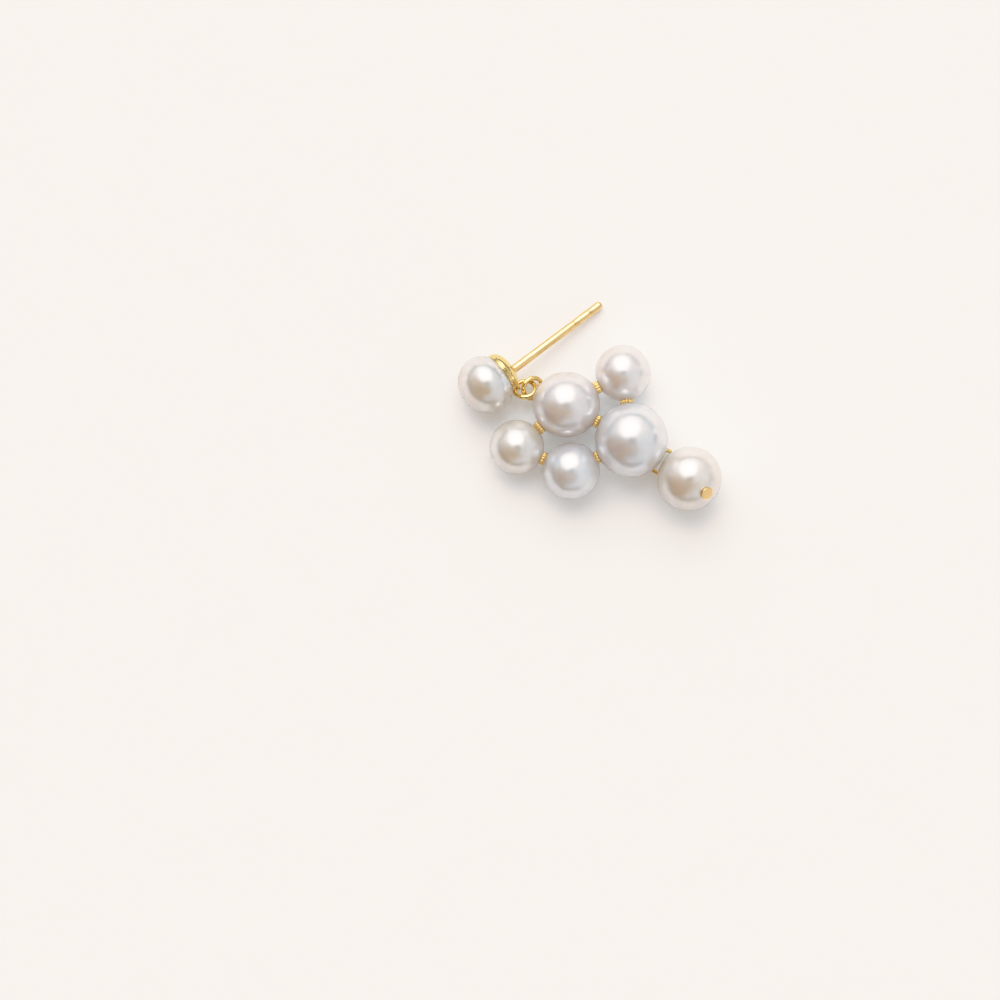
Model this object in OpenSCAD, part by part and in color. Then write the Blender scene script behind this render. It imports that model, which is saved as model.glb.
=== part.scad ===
// Earring of a button pearl on a post with a hanging cluster of round pearls.
// It lies on a table as the table carries it: millimetres, +Z up, table top at z = 0.

/* [Button pearl and cup] */
// diameter of the button pearl across its post
stud_pearl_d = 5.96; // [5.7:0.02:6]
// front half of the button pearl's thickness
stud_front_h = 2.7; // [2.5:0.05:3]
// flatter back half of its thickness
stud_back_h = 2.44; // [2.4:0.02:2.5]
// radius of the cup's rim
cup_r = 2.12; // [2.08:0.01:2.2]
// distance of the rim behind the middle of the button pearl
cup_back = 1.9; // [1.86:0.01:1.94]
// height of the cup's dome behind its straight lip
cup_dome_h = 1.02; // [0.95:0.01:1.1]

/* [Ear post] */
// diameter of the ear post
post_d = 0.85; // [0.7:0.05:1]
// length of the ear post behind the dome
post_len = 11.2; // [9:0.1:11.6]
// distance of the post from the cup's axis, towards the soldered loop
post_offset = 0.45; // [0:0.05:0.5]
// distances of the two grooves from the tip of the post
groove_from_tip = [1.5, 3.1]; // [1:0.1:4]
// depth of a groove
groove_depth = 0.07; // [0.05:0.01:0.12]

/* [Round pearls] */
// diameter of the middle pearl
middle_d = 6.64; // [6.4:0.02:6.7]
// diameter of the upper pearl
upper_d = 5.56; // [5.3:0.02:5.6]
// diameter of the large pearl
large_d = 7.36; // [7.2:0.02:7.4]
// diameter of the outer small pearl
outer_small_d = 5.42; // [5.2:0.02:5.5]
// diameter of the inner small pearl
inner_small_d = 5.7; // [5.5:0.02:5.8]
// diameter of the end pearl
end_d = 6.42; // [6.3:0.02:6.44]

/* [Ribbed tubes] */
// outer diameter of a ribbed tube over its ribs
tube_d = 1.3; // [1:0.05:1.6]
// number of ribs round a tube
tube_ribs = 12; // [8:1:16]
// diameter of the pegs that the drilled pearls sit on
peg_d = 0.5; // [0.4:0.05:0.7]
// depth of a peg in its pearl
peg_depth = 1.2; // [0.8:0.1:1.5]

/* [Rings and eyes] */
// wire diameter of the two jump rings between cup and cluster
ring_wire_d = 0.42; // [0.38:0.01:0.42]
// mean diameter of the jump ring that runs through the cup's loop
stud_ring_d = 2.06; // [2.04:0.01:2.07]
// mean diameter of the jump ring that runs through the middle pearl's eye
drop_ring_d = 2.1; // [2.08:0.01:2.11]
// wire diameter of the jump ring between large pearl and end pearl
link_wire_d = 0.4; // [0.36:0.01:0.4]
// mean diameter of that jump ring
link_ring_d = 2.5; // [2.48:0.01:2.51]
// wire diameter of the two lower eyes and of the head pin
pin_wire_d = 0.28; // [0.24:0.01:0.28]
// diameter of the head that ends the head pin
head_d = 1.35; // [1.2:0.05:1.8]
// height of that head above the pearl
head_h = 0.26; // [0.2:0.02:0.4]

/* [Hidden] */
$fn = 96;
play = 0.03;
tiny = 0.02;

// middle of each pearl, each one resting on the table
middle_at = [-2.32, 0.13, middle_d / 2];
upper_at = [3.34, 3.28, upper_d / 2];
large_at = [4.15, -3.39, large_d / 2];
outer_small_at = [-7.24, -4.08, outer_small_d / 2];
inner_small_at = [-1.83, -6.45, inner_small_d / 2];
end_at = [9.94, -7.25, end_d / 2];

// middle of the cup's rim, and the turn of its axis from straight up to along the post
cup_at = [-8.8, 3.3, 2.65];
post_tilt = 100.3;
post_turn = 36.9;

// the cup in its own frame: z runs along the post, with the rim's middle at zero
lip_over = 0.09;
lip_top = 0.1;
cup_top = lip_top + cup_dome_h;
cup_peg_depth = 2.2;
pearl_back = stud_back_h - cup_back;

// root of the post and of the soldered loop's stem under the dome's surface
root_depth = 0.3;
post_foot_r = 0.3;
groove_wire_r = groove_depth + 0.04;

// soldered loop on the cup, in the cup's own frame
loop_at = [1.44, -1.87, 0.74];
loop_r = 0.47;
loop_wire_r = 0.17;

// rings and eyes: middle, then the turn and the tilt of the ring's axis
stud_ring = [[-6.435, 1.708, 1.475], 99.3, 38.3];
drop_ring = [[-5.619, 1.781, 1.093], -27, 26.5];
link_ring = [[7.333, -5.553, 0.55], -54.6, 11.1];
middle_eye = [[-4.669, 1.932, 0.667], 67.9, 73.5];
large_eye = [[6.05, -5.788, 0.658], -77, 83.1];
end_eye = [[8.421, -4.933, 0.598], 109.3, 76.9];
middle_eye_r = 0.46;
middle_eye_wire_r = 0.16;
lower_eye_r = 0.44;
lower_eye_wire_r = pin_wire_d / 2;
eye_peg_depth = 1.5;

// direction in which the head pin leaves the end pearl
head_way = unit([0.5, -0.44, 0.75]);
head_edge_r = 0.08;
head_root = 0.15;
pin_bend_at = end_at - (end_d / 2 + 0.2) * head_way;

pearl_colour = [0.93, 0.9, 0.87];
gold_colour = [0.84, 0.64, 0.3];

function unit(v) = v / norm(v);

// direction of an axis that is turned and tilted from straight up
function axis(turn, tilt) = [cos(turn) * sin(tilt), sin(turn) * sin(tilt), cos(tilt)];

// part of a vector that is square to an axis
function square_to(v, n) = v - (v * n) * n;

// point of a ring's wire that lies nearest to a place
function near_point(ring, r, place) =
    ring[0] + r * unit(square_to(place - ring[0], axis(ring[1], ring[2])));

// one quarter of an ellipse's outline, widest at the middle, from one angle to another
function ellipse_points(r, h, from, to, steps) =
    [for (i = [0:steps]) let (a = from + (to - from) * i / steps) [r * cos(a), h * sin(a)]];

// turns +Z into the line from one place to another
module aim(from, to) {
    way = to - from;
    translate(from)
        rotate([0, acos(way[2] / norm(way)), atan2(way[1], way[0])])
            children();
}

module wire_ring(r, wire_r) {
    rotate_extrude()
        translate([r, 0])
            circle(r = wire_r);
}

module placed_ring(ring, r, wire_r) {
    translate(ring[0])
        rotate([0, ring[2], ring[1]])
            wire_ring(r, wire_r);
}

// straight piece of round wire
module wire(from, to, r) {
    aim(from, to)
        cylinder(r = r, h = norm(to - from));
}

// hole from the outside of a pearl towards its middle
module drilling(at, d, towards, r, depth) {
    aim(at, towards)
        translate([0, 0, d / 2 - depth - tiny])
            cylinder(r = r + play, h = depth + 1);
}

module in_cup_frame() {
    translate(cup_at)
        rotate([0, post_tilt, post_turn])
            children();
}

// button pearl in the cup's frame, grown on all sides by a gap
module button(gap) {
    r = stud_pearl_d / 2 + gap;
    translate([0, 0, -cup_back])
        rotate_extrude()
            polygon(concat(
                ellipse_points(r, stud_front_h + gap, -90, 0, 15),
                ellipse_points(r, stud_back_h + gap, 6, 90, 14)));
}

module stud_pearl() {
    color(pearl_colour)
        in_cup_frame()
            difference() {
                button(0);
                translate([0, 0, pearl_back - cup_peg_depth - tiny])
                    cylinder(d = peg_d + 2 * play, h = cup_peg_depth + 1);
            }
}

module cup() {
    // the dome is a slice of the sphere that passes through the lip's edge and the dome's top
    dome_r = (cup_r * cup_r + cup_dome_h * cup_dome_h) / (2 * cup_dome_h);
    intersection() {
        translate([0, 0, cup_top - dome_r])
            sphere(r = dome_r);
        translate([0, 0, -lip_over])
            cylinder(r = cup_r, h = lip_over + cup_top + 1);
    }
}

module ear_post() {
    tip_z = cup_top + post_len;
    // the dome has fallen by about this much at the foot's outer edge
    foot_drop = 0.14;
    translate([0, -post_offset, 0])
        difference() {
            union() {
                translate([0, 0, cup_top - root_depth])
                    cylinder(d = post_d, h = post_len + root_depth - post_d / 2);
                translate([0, 0, tip_z - post_d / 2])
                    sphere(d = post_d);
                // solder runs up the foot of the post in a small hollow curve
                translate([0, 0, cup_top - foot_drop])
                    rotate_extrude()
                        difference() {
                            square([post_d / 2 + post_foot_r, post_foot_r]);
                            translate([post_d / 2 + post_foot_r, post_foot_r])
                                circle(r = post_foot_r);
                        }
            }
            for (g = groove_from_tip)
                translate([0, 0, tip_z - g])
                    wire_ring(post_d / 2 + groove_wire_r - groove_depth, groove_wire_r);
        }
}

module soldered_loop() {
    translate(loop_at)
        wire_ring(loop_r, loop_wire_r);
    // short stem from the side of the loop that is nearest the cup's axis down to the dome
    side = unit([loop_at[0], loop_at[1]]);
    foot = (norm([loop_at[0], loop_at[1]]) - loop_r) * side;
    translate([foot[0], foot[1], 0])
        cylinder(r = loop_wire_r, h = loop_at[2]);
}

module stud_mount() {
    color(gold_colour)
        in_cup_frame() {
            difference() {
                union() {
                    cup();
                    ear_post();
                    soldered_loop();
                }
                button(play);
            }
            translate([0, 0, pearl_back - cup_peg_depth])
                cylinder(d = peg_d, h = cup_peg_depth + root_depth);
        }
}

module stud_jump_ring() {
    color(gold_colour)
        placed_ring(stud_ring, stud_ring_d / 2, ring_wire_d / 2);
}

module drop_jump_ring() {
    color(gold_colour)
        placed_ring(drop_ring, drop_ring_d / 2, ring_wire_d / 2);
}

// ring of wire with a slightly thinner peg that runs from it towards the middle of its pearl
module eye_pin(ring, r, wire_r, at, d) {
    root = near_point(ring, r, at);
    placed_ring(ring, r, wire_r);
    wire(root, at + unit(root - at) * (d / 2 - eye_peg_depth), wire_r - tiny);
}

module middle_eye() {
    color(gold_colour)
        eye_pin(middle_eye, middle_eye_r, middle_eye_wire_r, middle_at, middle_d);
}

module large_eye() {
    color(gold_colour)
        eye_pin(large_eye, lower_eye_r, lower_eye_wire_r, large_at, large_d);
}

module link_ring() {
    color(gold_colour)
        placed_ring(link_ring, link_ring_d / 2, link_wire_d / 2);
}

module head_pin() {
    top = end_d / 2 + head_h;
    h = head_h + head_root;
    color(gold_colour) {
        difference() {
            aim(end_at, end_at + head_way)
                translate([0, 0, top - h])
                    rotate_extrude() {
                        square([head_d / 2 - head_edge_r, h]);
                        square([head_d / 2, h - head_edge_r]);
                        translate([head_d / 2 - head_edge_r, h - head_edge_r])
                            circle(r = head_edge_r);
                    }
            translate(end_at)
                sphere(d = end_d + 2 * tiny);
        }
        wire(end_at + (top - head_root) * head_way, pin_bend_at, pin_wire_d / 2);
        translate(pin_bend_at)
            sphere(d = pin_wire_d + tiny);
        wire(pin_bend_at, near_point(end_eye, lower_eye_r, pin_bend_at), pin_wire_d / 2 - tiny);
        placed_ring(end_eye, lower_eye_r, lower_eye_wire_r);
    }
}

// round pearl drilled for a peg towards each neighbour that it is joined to
module drilled_pearl(at, d, neighbours) {
    difference() {
        translate(at)
            sphere(d = d);
        for (n = neighbours)
            drilling(at, d, n, peg_d / 2, peg_depth);
        children();
    }
}

module middle_pearl() {
    color(pearl_colour)
        drilled_pearl(middle_at, middle_d, [upper_at, large_at, outer_small_at])
            drilling(middle_at, middle_d, near_point(middle_eye, middle_eye_r, middle_at),
                middle_eye_wire_r, eye_peg_depth);
}

module upper_pearl() {
    color(pearl_colour)
        drilled_pearl(upper_at, upper_d, [middle_at, large_at]);
}

module large_pearl() {
    color(pearl_colour)
        drilled_pearl(large_at, large_d, [middle_at, upper_at, inner_small_at])
            drilling(large_at, large_d, near_point(large_eye, lower_eye_r, large_at),
                lower_eye_wire_r, eye_peg_depth);
}

module outer_small_pearl() {
    color(pearl_colour)
        drilled_pearl(outer_small_at, outer_small_d, [middle_at, inner_small_at]);
}

module inner_small_pearl() {
    color(pearl_colour)
        drilled_pearl(inner_small_at, inner_small_d, [outer_small_at, large_at]);
}

module end_pearl() {
    color(pearl_colour)
        difference() {
            translate(end_at)
                sphere(d = end_d);
            aim(end_at - end_d * head_way, end_at)
                cylinder(r = pin_wire_d / 2 + play, h = 2 * end_d);
        }
}

module ribbed_section() {
    rib_r = tube_d * sin(180 / tube_ribs) / 2;
    circle(r = tube_d / 2 - rib_r);
    for (i = [0:tube_ribs - 1])
        rotate(i * 360 / tube_ribs)
            translate([tube_d / 2 - rib_r, 0])
                circle(r = rib_r);
}

// ribbed tube between two pearls, hollowed at both ends to sit on them, with a peg into each
module ribbed_tube(a, a_d, b, b_d) {
    gap = norm(b - a) - a_d / 2 - b_d / 2;
    // the hollow ends reach this far over the pearls
    over = 0.3;
    color(gold_colour) {
        difference() {
            aim(a, b)
                translate([0, 0, a_d / 2 - over])
                    linear_extrude(gap + 2 * over)
                        ribbed_section();
            translate(a)
                sphere(d = a_d + 2 * tiny);
            translate(b)
                sphere(d = b_d + 2 * tiny);
        }
        aim(a, b)
            translate([0, 0, a_d / 2 - peg_depth])
                cylinder(d = peg_d, h = gap + 2 * peg_depth);
    }
}

module tube_middle_upper() {
    ribbed_tube(middle_at, middle_d, upper_at, upper_d);
}

module tube_middle_large() {
    ribbed_tube(middle_at, middle_d, large_at, large_d);
}

module tube_upper_large() {
    ribbed_tube(upper_at, upper_d, large_at, large_d);
}

module tube_middle_outer() {
    ribbed_tube(middle_at, middle_d, outer_small_at, outer_small_d);
}

module tube_outer_inner() {
    ribbed_tube(outer_small_at, outer_small_d, inner_small_at, inner_small_d);
}

module tube_inner_large() {
    ribbed_tube(inner_small_at, inner_small_d, large_at, large_d);
}

stud_pearl();
stud_mount();
stud_jump_ring();
drop_jump_ring();
middle_eye();
middle_pearl();
upper_pearl();
large_pearl();
outer_small_pearl();
inner_small_pearl();
tube_middle_upper();
tube_middle_large();
tube_upper_large();
tube_middle_outer();
tube_outer_inner();
tube_inner_large();
large_eye();
link_ring();
head_pin();
end_pearl();
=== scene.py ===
# %% [markdown]
# # A pearl cluster earring
# One earring lies on a pale table and is seen from straight above. It has a button pearl on a gold
# cup and post, two small jump rings, a cluster of five round pearls joined by ribbed gold tubes, and
# one more pearl on its own ring. The solids come from the CAD frame, with the table top at z = 0.
# This lesson gives each of them its skin: near-round nacre for the pearls, polished gold for the rest.

# %% Load the frame
import bmesh
import bpy
import math
from mathutils import Matrix, Vector, noise


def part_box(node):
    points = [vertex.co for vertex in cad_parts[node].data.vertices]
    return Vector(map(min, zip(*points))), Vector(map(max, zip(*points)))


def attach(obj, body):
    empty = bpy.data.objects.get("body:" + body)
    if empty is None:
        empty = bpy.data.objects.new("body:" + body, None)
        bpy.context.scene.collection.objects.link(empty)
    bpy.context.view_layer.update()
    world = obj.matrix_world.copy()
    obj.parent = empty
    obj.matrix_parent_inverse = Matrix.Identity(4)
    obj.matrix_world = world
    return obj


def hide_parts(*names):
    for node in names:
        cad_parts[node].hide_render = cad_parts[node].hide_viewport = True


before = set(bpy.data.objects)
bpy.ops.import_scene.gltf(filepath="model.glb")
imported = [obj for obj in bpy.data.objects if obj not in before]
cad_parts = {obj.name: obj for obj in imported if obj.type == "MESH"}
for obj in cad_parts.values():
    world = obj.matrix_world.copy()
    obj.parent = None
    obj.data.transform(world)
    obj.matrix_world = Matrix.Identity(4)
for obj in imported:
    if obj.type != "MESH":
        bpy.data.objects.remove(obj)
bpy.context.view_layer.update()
MM = 0.001
print("nodes:", len(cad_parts))

# %% [markdown]
# ## The camera
# The photo looks straight down, and ten of its pixels make one millimetre, so the frame is 100 mm
# wide. A wide lens close by would show the flanks of the outer pearls. The photo shows none, so the
# camera stands far back with a long lens. It looks at the point of the table that lies in the middle
# of the photo, which is to the lower left of the earring.

# %% Camera
FRAME_WIDTH = 100 * MM
CAMERA_HEIGHT = 800 * MM
SENSOR = 36.0
PHOTO_CENTRE = Vector((-8.92, -9.37, 0)) * MM

camera_data = bpy.data.cameras.new("camera")
camera_data.sensor_width = SENSOR
camera_data.lens = SENSOR * CAMERA_HEIGHT / FRAME_WIDTH
camera = bpy.data.objects.new("camera", camera_data)
camera.location = PHOTO_CENTRE + Vector((0, 0, CAMERA_HEIGHT))
bpy.context.scene.collection.objects.link(camera)
bpy.context.scene.camera = camera
print("lens in mm:", round(camera_data.lens))

# %% [markdown]
# ## Helpers for materials
# Colours are picked as the hex values that an eye dropper shows, which are coded for a screen. The
# shader wants light, so one function undoes the coding. Another adds a node with its settings and
# links, so that a material reads as a short list.

# %% Material helpers
def linear(hex_colour):
    """Turns an sRGB hex colour into linear red, green, blue and alpha."""
    codes = [int(hex_colour[i:i + 2], 16) / 255 for i in (1, 3, 5)]
    return [c / 12.92 if c <= 0.04045 else ((c + 0.055) / 1.055) ** 2.4 for c in codes] + [1.0]


def add_node(tree, kind, settings=None, **sockets):
    """Adds a node. A socket's value may be a number, a colour, or another node's output."""
    node = tree.nodes.new(kind)
    for name, value in (settings or {}).items():
        setattr(node, name, value)
    for name, value in sockets.items():
        key = int(name[1:]) if name[1:].isdigit() else name.replace("_", " ")
        if isinstance(value, bpy.types.NodeSocket):
            tree.links.new(value, node.inputs[key])
        else:
            node.inputs[key].default_value = value
    return node


def new_material(name):
    """Makes an empty node material and returns it with its tree."""
    material = bpy.data.materials.new(name)
    material.use_nodes = True
    material.node_tree.nodes.clear()
    return material, material.node_tree


def finish_material(tree, shader):
    """Joins a shader to the material's output."""
    add_node(tree, "ShaderNodeOutputMaterial", Surface=shader.outputs[0])

# %% [markdown]
# ## The table
# The earring lies on plain matt paper. It has no grain that shows at this scale, only a faint
# unevenness, so a flat sheet with a very soft noise in its colour is enough. The sheet itself is
# nearly white: most of its cream look in the photo comes from the exposure further down. A little
# glow stands for the light that a large sheet and the walls throw back under the pearls. The
# table belongs to the stage, not to the object.

# %% Table
TABLE_SIZE = 3.0
PAPER_MOTTLE_MM = 6.0
PAPER_GLOW = 0.185

paper, tree = new_material("white_paper_matt")
place = add_node(tree, "ShaderNodeTexCoord")
mottle = add_node(tree, "ShaderNodeTexNoise", Vector=place.outputs["Object"],
                  Scale=1 / (PAPER_MOTTLE_MM * MM), Detail=2.0)
tint = add_node(tree, "ShaderNodeMix", {"data_type": "RGBA"}, Factor=mottle.outputs[0],
                _6=linear("#EDEDE8"), _7=linear("#EFEFEA"))
finish_material(tree, add_node(tree, "ShaderNodeBsdfPrincipled", Base_Color=tint.outputs[2],
                               Roughness=0.9, Specular_IOR_Level=0.1,
                               Emission_Color=linear("#FFFFFF"), Emission_Strength=PAPER_GLOW))

table_mesh = bpy.data.meshes.new("table")
bm = bmesh.new()
bmesh.ops.create_grid(bm, x_segments=1, y_segments=1, size=TABLE_SIZE / 2)
bm.to_mesh(table_mesh)
bm.free()
table = bpy.data.objects.new("table", table_mesh)
table_mesh.materials.append(paper)
bpy.context.scene.collection.objects.link(table)
print("table side in m:", TABLE_SIZE)

# %% [markdown]
# ## The light
# A pearl is a small mirror with a soft skin: it shows the studio, and below its waist it shows the
# table. In the photo each pearl has one broad white patch above its middle, with soft edges. So the
# room is painted as a sky with smooth lobes. A wide bright one behind the table is the key light.
# It draws the white patches, and it is small enough to give the shadows their direction. Two dim
# warm ones, towards the bottom of the photo and its lower left, draw the brown crescent on each
# pearl. A small dark one straight above is the camera, and a dark strip along the horizon is the
# far wall. A pale patch in that wall on the lower right lights the flat head at the end of the
# earring. Lamps with hard edges would show as rectangles in the pearls, so there is only one: a
# small window low on the right, which gives the glint near each right edge.

# %% Window lamp
def sky_way(turn, lean):
    """Direction in the sky. Turn is clockwise from the top of the photo, lean is from overhead."""
    turn, lean = math.radians(turn), math.radians(lean)
    flat = math.sin(lean)
    return Vector((math.sin(turn) * flat, math.cos(turn) * flat, math.cos(lean)))


def soft_box(name, turn, lean, distance, width, height, radiance, colour):
    """Adds a rectangular light of a given brightness that faces the earring."""
    data = bpy.data.lights.new(name, "AREA")
    data.shape = "RECTANGLE"
    data.size, data.size_y = width, height
    data.energy = radiance * math.pi * width * height
    data.color = linear(colour)[:3]
    light = bpy.data.objects.new(name, data)
    way = sky_way(turn, lean)
    light.location = way * distance
    light.rotation_mode = "QUATERNION"
    light.rotation_quaternion = way.to_track_quat("Z", "Y")
    light.visible_camera = False
    bpy.context.scene.collection.objects.link(light)


soft_box("small_window", turn=72, lean=84, distance=0.6, width=0.03, height=0.03,
         radiance=14.0, colour="#FFFFFF")

# %% Room light
ROOM, ROOM_TINT = 0.745, "#F8FAFF"
DARK_TINT = "#C8C0B8"
# brightness of the far wall, and the heights in the sky between which it fades out
WALL_LEVEL, WALL_FULL_TO, WALL_GONE_AT = 0.08, 0.08, 0.32
# turn, lean, inner radius and outer radius in degrees, weight, colour and brightness of each lobe
WARM_CEILING = (197, 27, 8, 37, 0.85, "#FFCF9E", 0.34)
KEY_SKIRT = (-8, 56, 8, 39, 1.0, "#F4F8FF", 1.6)
KEY_LIGHT = (-8, 37, 10, 34, 1.0, "#F4F8FF", 4.2)
WARM_CORNER = (238, 60, 18, 52, 1.0, "#FFB878", 0.3)
CAMERA_SPOT = (0, 0, 7, 16, 1.0, DARK_TINT, 0.02)
PALE_PATCH = (128, 82, 8, 36, 0.9, "#FFFFFF", 0.85)

world = bpy.data.worlds.new("pale_room")
bpy.context.scene.world = world
world.use_nodes = True
tree = world.node_tree
tree.nodes.clear()
sky = add_node(tree, "ShaderNodeTexCoord")


def glow(colour, level):
    """Linear colour of a light of a given tint and brightness."""
    return [c * level for c in linear(colour)[:3]] + [1.0]


def blend(below, factor, colour, level):
    """Paints a light over what lies below it in the sky."""
    return add_node(tree, "ShaderNodeMix", {"data_type": "RGBA"}, Factor=factor, _6=below,
                    _7=glow(colour, level)).outputs[2]


def lobe(below, turn, lean, inner_deg, outer_deg, weight, colour, level):
    """Paints a round lobe of the sky, which is full in its heart and fades to nothing."""
    closeness = add_node(tree, "ShaderNodeVectorMath", {"operation": "DOT_PRODUCT"},
                         _0=sky.outputs["Generated"], _1=sky_way(turn, lean))
    fade = add_node(tree, "ShaderNodeMapRange", {"interpolation_type": "SMOOTHSTEP"},
                    Value=closeness.outputs["Value"],
                    From_Min=math.cos(math.radians(outer_deg)),
                    From_Max=math.cos(math.radians(inner_deg)),
                    To_Min=0.0, To_Max=weight)
    return blend(below, fade.outputs[0], colour, level)


paint = glow(ROOM_TINT, ROOM)
for overhead in (WARM_CEILING, KEY_SKIRT, KEY_LIGHT, WARM_CORNER, CAMERA_SPOT):
    paint = lobe(paint, *overhead)
height = add_node(tree, "ShaderNodeSeparateXYZ", Vector=sky.outputs["Generated"]).outputs["Z"]
far_wall = add_node(tree, "ShaderNodeMapRange", {"interpolation_type": "SMOOTHSTEP"}, Value=height,
                    From_Min=WALL_FULL_TO, From_Max=WALL_GONE_AT, To_Min=1.0, To_Max=0.0)
paint = blend(paint, far_wall.outputs[0], DARK_TINT, WALL_LEVEL)
paint = lobe(paint, *PALE_PATCH)
room = add_node(tree, "ShaderNodeBackground", Color=paint)
add_node(tree, "ShaderNodeOutputWorld", Surface=room.outputs[0])
print("room light:", ROOM)

# %% [markdown]
# ## The exposure
# In the photo the paper is so bright that it hides all faint shade, and only the shadow right under
# the pearls is left. The white patches on the pearls fade softly. That is a shoulder in the tone
# curve: light above a knee is pressed together instead of cut off. Red comes to full white first
# and blue last, which turns the bright neutral paper cream and leaves the shade neutral.

# %% Tone curve
KNEE, WHITE = 0.7, 4.0
SHOULDERS = (1.476, 1.0, 0.707)
CURVE_STEPS, FIRST_STEP = 13, 0.02
settings = bpy.context.scene.view_settings
settings.view_transform = "Standard"
settings.use_curve_mapping = True
tones = settings.curve_mapping
tones.white_level = (WHITE, WHITE, WHITE)
for curve, shoulder in zip(tones.curves, SHOULDERS):
    curve.points[1].location = (1, 1)
    curve.points.new(KNEE / 2 / WHITE, KNEE / 2)
    for step in range(CURVE_STEPS):
        light = KNEE + FIRST_STEP * step ** 2
        shade = math.exp(shoulder * (KNEE - light) / (1 - KNEE))
        curve.points.new(light / WHITE, 1 - (1 - KNEE) * shade)
tones.update()
print("tone curve points:", len(tones.curves[0].points))

# %% [markdown]
# ## Nacre
# Nacre is thousands of clear plates of aragonite, each about as thick as a wave of light. Nearly
# half of the light that comes in is thrown back by the stack of plates, slightly blurred and
# without a tint of its own: that is the lustre. The rest goes deeper, spreads and comes out in the
# colour of the body. So the shader is a mix of the two, which is also why a golden pearl still has
# a white highlight. Near the rim the plates are seen on edge and the mirror is veiled by the body,
# so the share of lustre falls off at a slant. Red light travels furthest in nacre, which is what
# the three depths of the subsurface say. A thin smooth coat on the lustre keeps small glints
# crisp, and a swell in the surface stands for the growth ripples of a real pearl. The pearls of
# one earring are matched but not alike, hence a white, a rosy and a creamy body.

# %% Nacre
NACRE_IOR = 1.53
LUSTRE, SLANT_LUSTRE = 0.44, 0.34
SLANT_FROM, SLANT_TO = 0.12, 0.45
LIGHT_DEPTH_MM = 12.0
PLATE_FILM_NM = 360.0
MOTTLE_MM = 1.6
RIPPLE_MM, RIPPLE_HEIGHT_MM = 0.7, 0.1
SEED_SHIFT = (0.013, 0.007, 0)


def nacre(name, light, shade, seed):
    """Makes polished nacre from a light and a slightly darker body colour."""
    material, tree = new_material(name)
    place = add_node(tree, "ShaderNodeTexCoord")
    shifted = add_node(tree, "ShaderNodeMapping", Vector=place.outputs["Object"],
                       Location=[seed * shift for shift in SEED_SHIFT])
    mottle = add_node(tree, "ShaderNodeTexNoise", Vector=shifted.outputs[0],
                      Scale=1 / (MOTTLE_MM * MM), Detail=3.0, Roughness=0.55)
    spread = add_node(tree, "ShaderNodeMapRange", Value=mottle.outputs[0],
                      From_Min=0.32, From_Max=0.68)
    body = add_node(tree, "ShaderNodeMix", {"data_type": "RGBA"}, Factor=spread.outputs[0],
                    _6=linear(shade), _7=linear(light))
    ripple = add_node(tree, "ShaderNodeTexNoise", Vector=shifted.outputs[0],
                      Scale=1 / (RIPPLE_MM * MM), Detail=3.0)
    swell = add_node(tree, "ShaderNodeBump", Strength=0.14, Distance=RIPPLE_HEIGHT_MM * MM,
                     Height=ripple.outputs[0])
    deep = add_node(tree, "ShaderNodeBsdfPrincipled", Base_Color=body.outputs[2], Roughness=0.5,
                    IOR=NACRE_IOR, Subsurface_Weight=1.0, Subsurface_Radius=(1.0, 0.75, 0.55),
                    Subsurface_Scale=LIGHT_DEPTH_MM * MM, Thin_Film_Thickness=PLATE_FILM_NM,
                    Thin_Film_IOR=1.45, Normal=swell.outputs[0])
    lustre = add_node(tree, "ShaderNodeBsdfPrincipled", Base_Color=linear("#F6F8FC"), Metallic=1.0,
                      Roughness=0.26, Coat_Weight=0.4, Coat_Roughness=0.06, Coat_IOR=NACRE_IOR,
                      Normal=swell.outputs[0])
    slant = add_node(tree, "ShaderNodeLayerWeight", Blend=0.5, Normal=swell.outputs[0])
    share = add_node(tree, "ShaderNodeMapRange", {"interpolation_type": "SMOOTHSTEP"},
                     Value=slant.outputs["Facing"], From_Min=SLANT_FROM, From_Max=SLANT_TO,
                     To_Min=LUSTRE, To_Max=SLANT_LUSTRE)
    finish_material(tree, add_node(tree, "ShaderNodeMixShader", Fac=share.outputs[0],
                                   _1=deep.outputs[0], _2=lustre.outputs[0]))
    return material


white_nacre = nacre("white_nacre_polished", "#D8D4D2", "#CCC8C5", 1)
rose_nacre = nacre("rose_nacre_polished", "#DCD1CB", "#D2C5BD", 2)
cream_nacre = nacre("cream_nacre_polished", "#DCD0C4", "#D0C0AD", 3)
print("nacre materials made")

# %% [markdown]
# ## Round pearls
# A grown pearl is never a true ball. Each one here starts as an icosphere, whose faces are nearly
# of one size and which has no poles to catch the light. It is drawn out a little along the direction
# in which the photo shows it longest, and a soft noise swells it by a hundredth or two of a
# millimetre. Then it is set down on the table again.

# %% Round pearls
SWELL_MM, SWELLS = 0.018, 1.6
SEED_STEP = 7.3
# name, node, direction in degrees in which it is longest, how far it is drawn out in mm, nacre
PEARLS = (
    ("nacre_middle", "middle_pearl", 4, 0.05, rose_nacre),
    ("nacre_upper", "upper_pearl", -66, 0.05, rose_nacre),
    ("nacre_large", "large_pearl", 83, 0.05, white_nacre),
    ("nacre_outer_small", "outer_small_pearl", 0, 0.01, cream_nacre),
    ("nacre_inner_small", "inner_small_pearl", 0, 0.02, white_nacre),
    ("nacre_end", "end_pearl", 40, 0.05, cream_nacre),
)


def ball(node):
    """Middle and radius in metres of a CAD sphere."""
    low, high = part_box(node)
    return (Vector(low) + Vector(high)) / 2, (high[2] - low[2]) / 2


def soft_noise(way, swells, seed):
    """A slow noise on a ball, which is read in a direction from its middle."""
    return noise.noise(way * swells + Vector((seed, 0, 0)))


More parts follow.
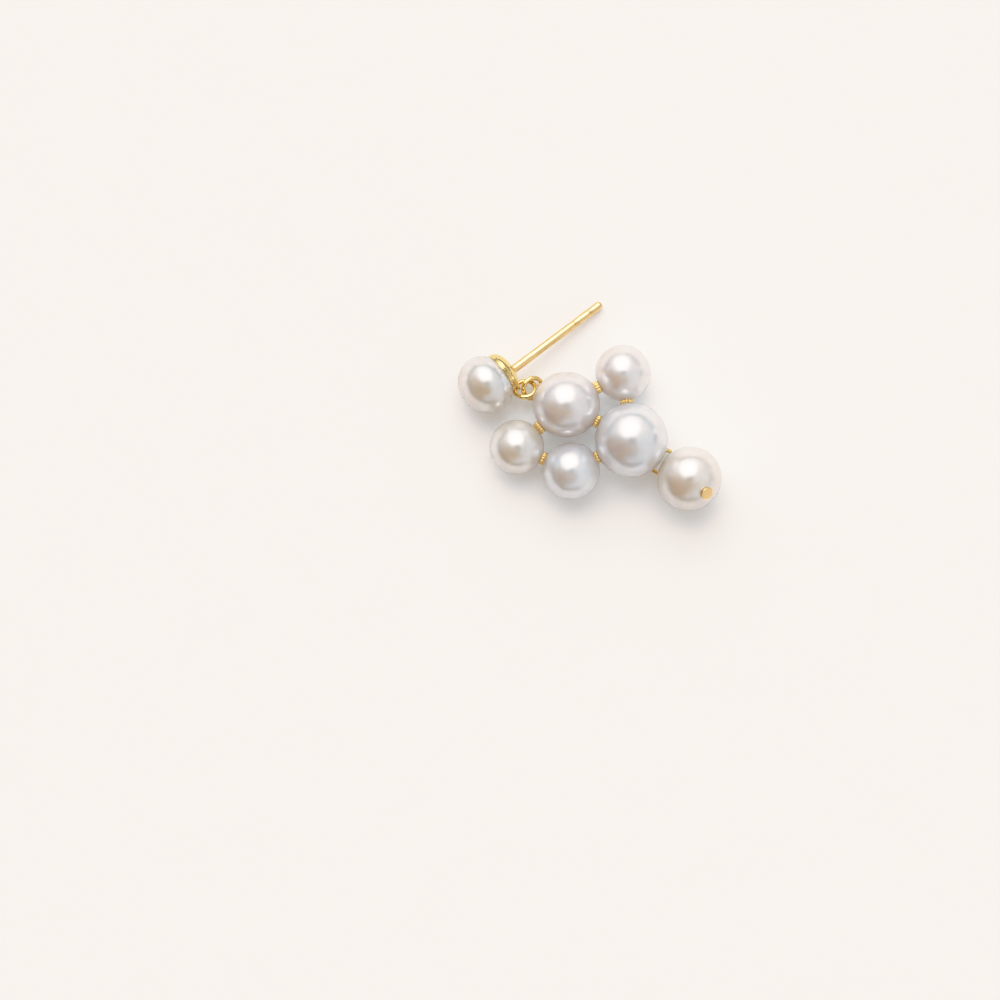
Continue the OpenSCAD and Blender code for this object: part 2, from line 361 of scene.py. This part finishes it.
def finish_piece(bm, name, node, material):
    """Turns a bmesh into a smooth piece that stands for a CAD node and rides on the root."""
    mesh = bpy.data.meshes.new(name)
    bmesh.ops.recalc_face_normals(bm, faces=bm.faces)
    bm.to_mesh(mesh)
    bm.free()
    mesh.shade_smooth()
    mesh.materials.append(material)
    piece = bpy.data.objects.new(name, mesh)
    bpy.context.scene.collection.objects.link(piece)
    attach(piece, "root")
    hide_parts(node)
    return piece


def round_pearl(seed, name, node, long_way_deg, draw_mm, material):
    """Grows a nearly round pearl in the place of a CAD sphere."""
    middle, radius = ball(node)
    bm = bmesh.new()
    bmesh.ops.create_icosphere(bm, subdivisions=6, radius=radius)
    turn = Matrix.Rotation(math.radians(long_way_deg), 3, "Z")
    grow = draw_mm * MM / radius
    draw_out = Matrix.Diagonal((1 + grow, 1 - grow, 1))
    bmesh.ops.transform(bm, matrix=turn @ draw_out @ turn.inverted(), verts=bm.verts)
    for vert in bm.verts:
        way = vert.co.normalized()
        vert.co += way * soft_noise(way, SWELLS, seed * SEED_STEP) * SWELL_MM * MM
    lowest = min(vert.co.z for vert in bm.verts)
    bmesh.ops.translate(bm, verts=bm.verts, vec=(middle[0], middle[1], -lowest))
    piece = finish_piece(bm, name, node, material)
    print(name, "radius", round(radius / MM, 2), "mm, middle", [round(v / MM, 2) for v in middle])


for seed, pearl in enumerate(PEARLS, start=1):
    round_pearl(seed, *pearl)

# %% [markdown]
# ## The button pearl
# The pearl on the ear is a button: it grew against the shell, so its back is flatter than its
# front. Half of its outline is drawn as two quarter ellipses and spun about a line beside the ear
# post. Then the same soft noise swells it, more than the round ones, because buttons are less
# regular.

# %% Button pearl
# heights in mm are measured from the lip of the cup, along the line of the post
CUP_AT = Vector((-8.8, 3.3, 2.65)) * MM
POST_TURN, POST_TILT = 36.9, 100.3
CUP_BACK = 1.9
BUTTON_R, BUTTON_FRONT, BUTTON_BACK = 2.98, 2.7, 2.44
BUTTON_SWELL, BUTTON_SWELLS, BUTTON_SEED = 0.008, 1.3, 40
QUARTER_STEPS, BUTTON_STEPS = 40, 160
MERGE_MM = 0.0005


def stand(middle, turn, tilt):
    """Matrix that puts a piece at a place, with its own Z turned and tilted by degrees."""
    return (Matrix.Translation(middle) @ Matrix.Rotation(math.radians(turn), 4, "Z")
            @ Matrix.Rotation(math.radians(tilt), 4, "Y"))


def arc(middle, radii, from_deg, to_deg, steps):
    """Points in mm on part of an ellipse, as distance from the axis and height."""
    angles = [math.radians(from_deg + (to_deg - from_deg) * i / steps) for i in range(steps + 1)]
    return [(middle[0] + radii[0] * math.cos(angle), middle[1] + radii[1] * math.sin(angle))
            for angle in angles]


def lathe(bm, outline, steps, offset=(0, 0)):
    """Spins an outline of distances and heights in mm about Z, and returns the new points."""
    start = [bm.verts.new((max(r, 0) * MM, 0, z * MM)) for r, z in outline]
    edges = [bm.edges.new(pair) for pair in zip(start, start[1:])]
    old = set(bm.verts) - set(start)
    bmesh.ops.spin(bm, geom=start + edges, cent=(0, 0, 0), axis=(0, 0, 1), angle=math.tau,
                   steps=steps, use_merge=True)
    bmesh.ops.remove_doubles(bm, verts=[v for v in bm.verts if v not in old],
                             dist=MERGE_MM * MM)
    made = [v for v in bm.verts if v not in old]
    bmesh.ops.translate(bm, verts=made, vec=(offset[0] * MM, offset[1] * MM, 0))
    return made


bm = bmesh.new()
front = arc((0, -CUP_BACK), (BUTTON_R, BUTTON_FRONT), -90, 0, QUARTER_STEPS)
back = arc((0, -CUP_BACK), (BUTTON_R, BUTTON_BACK), 0, 90, QUARTER_STEPS)
lathe(bm, front + back[1:], steps=BUTTON_STEPS)
for vert in bm.verts:
    swell = soft_noise(vert.co.normalized(), BUTTON_SWELLS, BUTTON_SEED)
    vert.co *= 1 + swell * BUTTON_SWELL
bmesh.ops.transform(bm, matrix=stand(CUP_AT, POST_TURN, POST_TILT), verts=bm.verts)
button = finish_piece(bm, "nacre_button", "stud_pearl", cream_nacre)
print("button pearl faces:", len(button.data.polygons))

# %% [markdown]
# ## Gold
# The metal is polished yellow gold, rather pale. Polished gold is a coloured mirror, so it keeps
# the metal's default index and a low roughness. A very fine noise in the roughness is what is left
# of the polishing cloth, and a slight waviness is what the fingers leave in so small a piece. Three
# finishes show: cup and rings come from the cloth, the post and the head pin are only tumbled and
# stay satin, and the ribbed tubes are drawn through a die and never see the cloth. The tubes' gold
# is also a little darker than the rest: that is painted shade for the shade between the pearls.

# %% Gold
CLOTH_MM = 0.25
WAVE_MM, WAVE_HEIGHT_MM = 0.5, 0.05


def polished_gold(name, colour, smooth, rough):
    """Makes gold with a roughness that wanders between two values."""
    material, tree = new_material(name)
    place = add_node(tree, "ShaderNodeTexCoord")
    cloth = add_node(tree, "ShaderNodeTexNoise", Vector=place.outputs["Object"],
                     Scale=1 / (CLOTH_MM * MM), Detail=2.0)
    haze = add_node(tree, "ShaderNodeMapRange", Value=cloth.outputs[0], From_Min=0.3, From_Max=0.7,
                    To_Min=smooth, To_Max=rough)
    wave = add_node(tree, "ShaderNodeTexNoise", Vector=place.outputs["Object"],
                    Scale=1 / (WAVE_MM * MM), Detail=1.0)
    waver = add_node(tree, "ShaderNodeBump", Strength=0.35, Distance=WAVE_HEIGHT_MM * MM,
                     Height=wave.outputs[0])
    finish_material(tree, add_node(tree, "ShaderNodeBsdfPrincipled", Base_Color=linear(colour),
                                   Metallic=1.0, Roughness=haze.outputs[0],
                                   Normal=waver.outputs[0]))
    return material


cloth_gold = polished_gold("yellow_gold_cloth_polished", "#F0D490", 0.05, 0.1)
wire_gold = polished_gold("yellow_gold_satin_wire", "#F4D294", 0.28, 0.36)
# the tubes' base colour is a little darker than the other gold: painted shade for the shade between
# the pearls
drawn_gold_painted_shade = polished_gold("yellow_gold_drawn_with_painted_shade", "#EBCA86", 0.24, 0.34)
print("gold materials made")

# %% [markdown]
# ## Cup, post and soldered loop
# The cup is pressed from sheet: a bowl with a full shoulder, and a beaded lip that hugs the back of
# the pearl. A plain dome would show one streak of light. The full shoulder gives the broad bright
# band of the photo, and the hollow between it and the bead gives the thin dark line. The post is
# turned wire with a rounded tip and two fine grooves that a friction nut clips into, and solder
# runs up its foot in a hollow curve. All of them are outlines spun about an axis, and the loop is
# a ring of wire with a short stem. A peg inside the cup holds the drilled pearl.

# %% Cup, post and loop
CUP_R, CUP_TOP, CUP_POWER = 2.1, 1.22, 2.3
BOWL_STEPS, BOWL_POINTS = 40, 38
CUP_GAP = 0.03
BEAD_R, BEAD_AT = 0.15, (1.97, 0.03)
FOOT_R, FOOT_ROOT, FOOT_AT, FOOT_TOP = 0.3, -0.3, 0.16, 0.2
POST_R, POST_TIP, POST_OFFSET = 0.425, 12.42, 0.45
GROOVES = (8.92, 10.82)
GROOVE_HALF, GROOVE_DEPTH, HOLD = 0.07, 0.04, 0.02
LOOP_AT, LOOP_R, LOOP_WIRE_R = Vector((1.44, -1.87, 0.74)), 0.47, 0.17
STEM_ROOT = Vector((0, 0, 0.1))
PEG_R, PEG_TIP, PEG_ROOT = 0.25, Vector((0, 0, -1.6)), Vector((0, 0, 0.8))
ROD_POINTS, WIRE_POINTS, RING_STEPS = 24, 28, 96


def full_shoulder(step):
    """Distance and height in mm of one point of the cup's outline, from its top down."""
    angle = math.radians(90 * step / BOWL_STEPS)
    power = 2 / CUP_POWER
    return CUP_R * math.sin(angle) ** power, CUP_TOP * math.cos(angle) ** power


def along(start, way):
    """Matrix that puts a piece at a place, with its own Z along a direction."""
    return Matrix.Translation(start) @ way.to_track_quat("Z", "Y").to_matrix().to_4x4()


def straight_wire(bm, start, end, radius):
    """Adds a straight piece of wire between two places in metres."""
    way = end - start
    bmesh.ops.create_cone(bm, cap_ends=True, segments=ROD_POINTS, radius1=radius * MM,
                          radius2=radius * MM, depth=way.length,
                          matrix=along((start + end) / 2, way))


def wire_ring(bm, place, radius, wire_r, seam_mm=0.0, seam_turn=0.0):
    """Bends wire into a ring about its own Z, with an open seam where it isn't soldered."""
    section = bmesh.ops.create_circle(bm, segments=WIRE_POINTS, radius=wire_r * MM)["verts"]
    bmesh.ops.rotate(bm, verts=section, matrix=Matrix.Rotation(math.pi / 2, 3, "X"))
    bmesh.ops.translate(bm, verts=section, vec=(radius * MM, 0, 0))
    seam = seam_mm / radius
    old = set(bm.verts) - set(section)
    edges = list({e for v in section for e in v.link_edges})
    end = bmesh.ops.spin(bm, geom=section + edges, cent=(0, 0, 0), axis=(0, 0, 1),
                         angle=math.tau - seam, steps=RING_STEPS, use_merge=not seam)
    if seam:
        for loop in (edges, [e for e in end["geom_last"] if isinstance(e, bmesh.types.BMEdge)]):
            bmesh.ops.edgeloop_fill(bm, edges=loop)
    made = [v for v in bm.verts if v not in old]
    turn = Matrix.Rotation(math.radians(seam_turn), 4, "Z")
    bmesh.ops.transform(bm, matrix=place @ turn, verts=made)


bm = bmesh.new()
bowl = [full_shoulder(step) for step in range(BOWL_POINTS)]
lip = arc(BEAD_AT, (BEAD_R, BEAD_R), 60, -90, 20)
seat_radii = (BUTTON_R + CUP_GAP, BUTTON_BACK + CUP_GAP)
seat_deg = math.degrees(math.acos(BEAD_AT[0] / seat_radii[0]))
seat = arc((0, -CUP_BACK), seat_radii, seat_deg, 90, 30)
lathe(bm, bowl + lip + seat, steps=128)

post = [(0, CUP_TOP + FOOT_ROOT), (POST_R + FOOT_R, CUP_TOP + FOOT_ROOT)]
post += arc((POST_R + FOOT_R, CUP_TOP + FOOT_AT), (FOOT_R, FOOT_R), -90, -180, 10)
post.append((POST_R, CUP_TOP + FOOT_TOP))
for groove in GROOVES:
    middle = (POST_R + GROOVE_HALF - GROOVE_DEPTH, groove)
    cut = arc(middle, (GROOVE_HALF, GROOVE_HALF), 250, 110, 10)
    post.append((POST_R, groove - GROOVE_HALF - HOLD))
    post += [point for point in cut if point[0] < POST_R]
    post.append((POST_R, groove + GROOVE_HALF + HOLD))
post += arc((0, POST_TIP - POST_R), (POST_R, POST_R), 0, 90, 16)
wire = lathe(bm, post, steps=48, offset=(0, -POST_OFFSET))
for face in {face for vert in wire for face in vert.link_faces}:
    face.material_index = 1

wire_ring(bm, Matrix.Translation(LOOP_AT * MM), LOOP_R, LOOP_WIRE_R)
side = Vector((LOOP_AT[0], LOOP_AT[1], 0))
stem = side.normalized() * (side.length - LOOP_R) * MM
stem_top = stem + Vector((0, 0, LOOP_AT[2])) * MM
straight_wire(bm, stem + STEM_ROOT * MM, stem_top, LOOP_WIRE_R)
straight_wire(bm, PEG_TIP * MM, PEG_ROOT * MM, PEG_R)
bmesh.ops.transform(bm, matrix=stand(CUP_AT, POST_TURN, POST_TILT), verts=bm.verts)
mount = finish_piece(bm, "cup_and_post", "stud_mount", cloth_gold)
mount.data.materials.append(wire_gold)
print("cup and post faces:", len(mount.data.polygons))

# %% [markdown]
# ## Jump rings and eyes
# A jump ring is a turn of round wire cut from a coil and pinched shut, so it keeps a hairline seam
# where its ends meet. The eyes are soldered, so they have none. Each eye stands on a peg that is
# glued into its drilled pearl.

# %% Jump rings and eyes
SEAM_MM = 0.012
PEG_DEPTH, PEG_SLIMMER = 1.5, 0.02
# name, node, middle in mm, turn and tilt in degrees, radius and wire radius in mm, turn of the seam
JUMP_RINGS = (
    ("jump_ring_of_stud", "stud_jump_ring", (-6.435, 1.708, 1.475), 99.3, 38.3, 1.03, 0.24, 120),
    ("jump_ring_of_cluster", "drop_jump_ring", (-5.619, 1.781, 1.093), -27, 26.5, 1.05, 0.24, 200),
    ("jump_ring_of_end", "link_ring", (7.333, -5.553, 0.55), -54.6, 11.1, 1.25, 0.2, 180),
)
# the same for the eyes, with the pearl that holds the peg in place of the seam
EYES = (
    ("eye_of_middle", "middle_eye", (-4.669, 1.932, 0.667), 67.9, 73.5, 0.46, 0.16, "middle_pearl"),
    ("eye_of_large", "large_eye", (6.05, -5.788, 0.658), -77, 83.1, 0.44, 0.14, "large_pearl"),
)


def jump_ring(name, node, middle, turn, tilt, radius, wire_r, seam_turn):
    """Makes one jump ring in the place of its CAD ring."""
    bm = bmesh.new()
    wire_ring(bm, stand(Vector(middle) * MM, turn, tilt), radius, wire_r, SEAM_MM, seam_turn)
    piece = finish_piece(bm, name, node, cloth_gold)


def nearest_on_ring(place, radius, target):
    """Point on the middle line of a ring that lies nearest to a target, in metres."""
    local = place.inverted() @ target
    return place @ (Vector((local[0], local[1], 0)).normalized() * radius * MM)


def eye_on_peg(name, node, middle, turn, tilt, radius, wire_r, pearl):
    """Makes a soldered eye with a peg that runs into its drilled pearl."""
    heart, pearl_r = ball(pearl)
    place = stand(Vector(middle) * MM, turn, tilt)
    root = nearest_on_ring(place, radius, heart)
    tip = heart + (root - heart).normalized() * (pearl_r - PEG_DEPTH * MM)
    bm = bmesh.new()
    wire_ring(bm, place, radius, wire_r)
    straight_wire(bm, root, tip, wire_r - PEG_SLIMMER)
    piece = finish_piece(bm, name, node, cloth_gold)


for ring in JUMP_RINGS:
    jump_ring(*ring)
for eye in EYES:
    eye_on_peg(*eye)
print("rings and eyes made:", len(JUMP_RINGS), len(EYES))

# %% [markdown]
# ## Ribbed tubes
# Each joint of the cluster is a short tube with fine ribs along it, like a slice of a cable crimp.
# It starts as a plain cylinder with ten points to a rib. Each point is drawn in or out to follow
# half-round ribs, and the two ends follow the pearls that they press on. A peg runs through the
# tube into both pearls.

# %% Ribbed tubes
TUBE_R, RIBS, POINTS_PER_RIB = 0.65, 12, 10
RIB_R = TUBE_R * math.sin(math.pi / RIBS)
RIB_FLOOR = 0.02
SEAT_GAP, TUBE_EDGE, TUBE_PEG_DEPTH = 0.02, 0.03, 1.2
PEARL_NODES = {
    "middle": "middle_pearl",
    "upper": "upper_pearl",
    "large": "large_pearl",
    "outer": "outer_small_pearl",
    "inner": "inner_small_pearl",
}
TUBE_ENDS = (
    ("middle", "upper"),
    ("middle", "large"),
    ("upper", "large"),
    ("middle", "outer"),
    ("outer", "inner"),
    ("inner", "large"),
)


def ribbed(angle):
    """Distance in metres of the ribbed wall from the tube's axis."""
    across = math.asin(math.sin(angle * RIBS / 2)) / (math.pi / 2)
    bulge = math.sqrt(max(1 - across * across, RIB_FLOOR))
    return (TUBE_R - RIB_R + RIB_R * bulge) * MM


def ribbed_tube(name, node, first, second):
    """Makes the ribbed tube between two pearls."""
    (start, start_r), (end, end_r) = ball(first), ball(second)
    way, span = (end - start).normalized(), (end - start).length
    bm = bmesh.new()
    bmesh.ops.create_cone(bm, cap_ends=False, segments=RIBS * POINTS_PER_RIB, radius1=TUBE_R * MM,
                          radius2=TUBE_R * MM, depth=span)
    rims = [[v for v in bm.verts if v.co.z < 0], [v for v in bm.verts if v.co.z > 0]]
    for rim, middle, radius, sign in ((rims[0], 0, start_r, 1), (rims[1], span, end_r, -1)):
        for vert in rim:
            out = ribbed(math.atan2(vert.co.y, vert.co.x))
            vert.co.xy = vert.co.xy.normalized() * out
            vert.co.z = middle + sign * math.sqrt((radius + SEAT_GAP * MM) ** 2 - out * out)
    for rim in rims:
        edges = [e for e in bm.edges if e.verts[0] in rim and e.verts[1] in rim]
        bmesh.ops.edgeloop_fill(bm, edges=edges)
    sharp = [e for e in bm.edges if any(len(f.verts) > 4 for f in e.link_faces)]
    bmesh.ops.bevel(bm, geom=sharp, offset=TUBE_EDGE * MM, offset_type="OFFSET", segments=2,
                    profile=0.5, affect="EDGES", material=-1)
    bmesh.ops.transform(bm, matrix=along(start, way), verts=bm.verts)
    straight_wire(bm, start + way * (start_r - TUBE_PEG_DEPTH * MM),
                  end - way * (end_r - TUBE_PEG_DEPTH * MM), PEG_R)
    piece = finish_piece(bm, name, node, drawn_gold_painted_shade)


for first, second in TUBE_ENDS:
    ribbed_tube(f"ribbed_tube_{first}_{second}", f"tube_{first}_{second}",
                PEARL_NODES[first], PEARL_NODES[second])
print("ribbed tubes made:", len(TUBE_ENDS))

# %% [markdown]
# ## The head pin
# The last pearl is threaded on a pin with a flat round head, like a tiny nail. The head's edge is
# rounded by tumbling, and its top is slightly domed. The pin runs through the whole pearl, bends
# under it and ends in a loop that the last jump ring holds.

# %% Head pin
HEAD_WAY = Vector((0.5, -0.44, 0.75)).normalized()
HEAD_R, HEAD_H, HEAD_EDGE, HEAD_GAP = 0.675, 0.26, 0.08, 0.02
# distance from the axis and height in mm, along the head's hollow underside and its slight dome
UNDERSIDE = ((0, 0), (0.3375, -0.02), (0.645, -0.06))
DOME = ((0.405, 0.008), (0.2025, 0.014), (0, 0.016))
PIN_R, BEND_DEPTH, BEND_R = 0.14, 0.2, 0.15
END_EYE_AT, END_EYE_TURN, END_EYE_TILT, END_EYE_R = Vector((8.421, -4.933, 0.598)), 109.3, 76.9, 0.44
end_middle, end_r = ball("end_pearl")

bm = bmesh.new()
under, top = end_r / MM + HEAD_GAP, end_r / MM + HEAD_H
hollow = [(out, under + rise) for out, rise in UNDERSIDE]
edge = arc((HEAD_R - HEAD_EDGE, top - HEAD_EDGE), (HEAD_EDGE, HEAD_EDGE), 0, 85, 8)
dome = [(out, top + rise) for out, rise in DOME]
lathe(bm, hollow + edge + dome, steps=64)
bmesh.ops.transform(bm, matrix=along(end_middle, HEAD_WAY), verts=bm.verts)
bend = end_middle - HEAD_WAY * (end_r + BEND_DEPTH * MM)
straight_wire(bm, end_middle + HEAD_WAY * end_r, bend, PIN_R)
bmesh.ops.create_icosphere(bm, subdivisions=3, radius=BEND_R * MM, matrix=Matrix.Translation(bend))
eye_place = stand(END_EYE_AT * MM, END_EYE_TURN, END_EYE_TILT)
eye_root = nearest_on_ring(eye_place, END_EYE_R, bend)
straight_wire(bm, bend, eye_root, PIN_R - PEG_SLIMMER)
wire_ring(bm, eye_place, END_EYE_R, PIN_R)
pin = finish_piece(bm, "pin_with_round_head", "head_pin", wire_gold)
print("head across in mm:", HEAD_R * 2)
